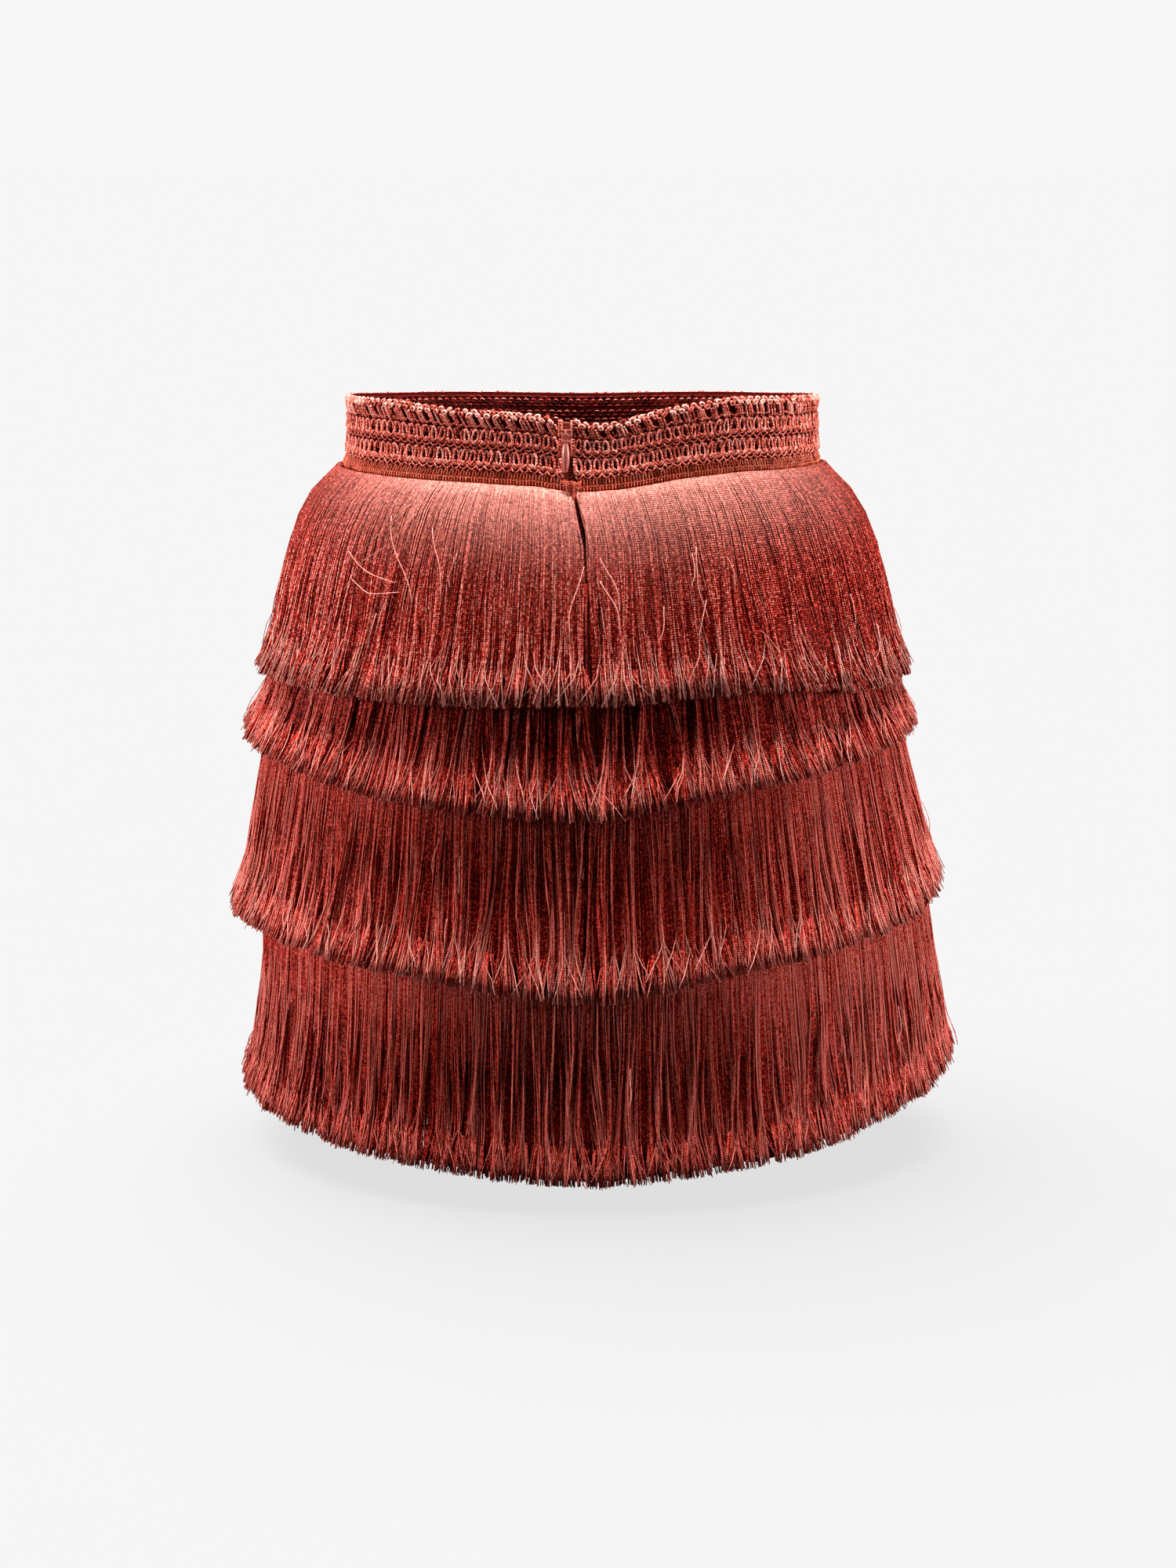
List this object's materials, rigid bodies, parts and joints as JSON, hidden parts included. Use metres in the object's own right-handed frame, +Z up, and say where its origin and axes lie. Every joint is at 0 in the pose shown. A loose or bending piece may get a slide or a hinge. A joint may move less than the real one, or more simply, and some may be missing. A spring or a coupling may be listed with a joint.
{
  "type": "fringe mini skirt",
  "caption": "Worn, hollow fringe mini skirt with a gimp-braid waistband, tiers of loose thread fringe and a centre-back zip with a drop pull.",
  "frame": {"origin": "centre of the waist's hollow, at half the height of the waistband", "axes": "+Z up the wearer's body, +Y the way the wearer faces, so the back with the zip faces -Y, and +X the wearer's right"},
  "size_m": [0.3964, 0.2728, 0.3979],
  "materials": {
    "knit": "matt rust-red knit",
    "braid": "rust crochet gimp braid with a soft sheen",
    "header": "matt orange-rust woven tape",
    "fringe": "silky rust thread fringe",
    "zip_tape": "matt rust woven tape",
    "zip_coil": "nylon coil",
    "enamel": "gloss pink enamel"
  },
  "bodies": {
    "skirt": {"waist_edge_roll": "braid", "waist_braid_upper": "braid", "waist_braid_lower": "braid", "base_skirt_front": "knit", "base_skirt_back_left": "knit", "base_skirt_back_right": "knit", "fringe_header_1": "header", "fringe_header_2": "header", "fringe_header_3": "header", "fringe_header_4": "header", "fringe_tier_1": "fringe", "fringe_tier_2": "fringe", "fringe_tier_3": "fringe", "fringe_tier_4": "fringe", "zip_tape_left": "zip_tape", "zip_tape_right": "zip_tape", "zip_coil": "zip_coil", "zip_top_stop": "enamel", "zip_slider": "enamel", "zip_bridge": "enamel"},
    "zip_pull": {"zip_pull": "enamel"}
  },
  "joints": [
    {"name": "zip_pull_swing", "type": "hinge", "parent": "skirt", "child": "zip_pull", "pos_m": [-0.00846, -0.08854, 0.0033], "axis": [-1, 0, 0], "range_deg": [0, 150]}
  ]
}
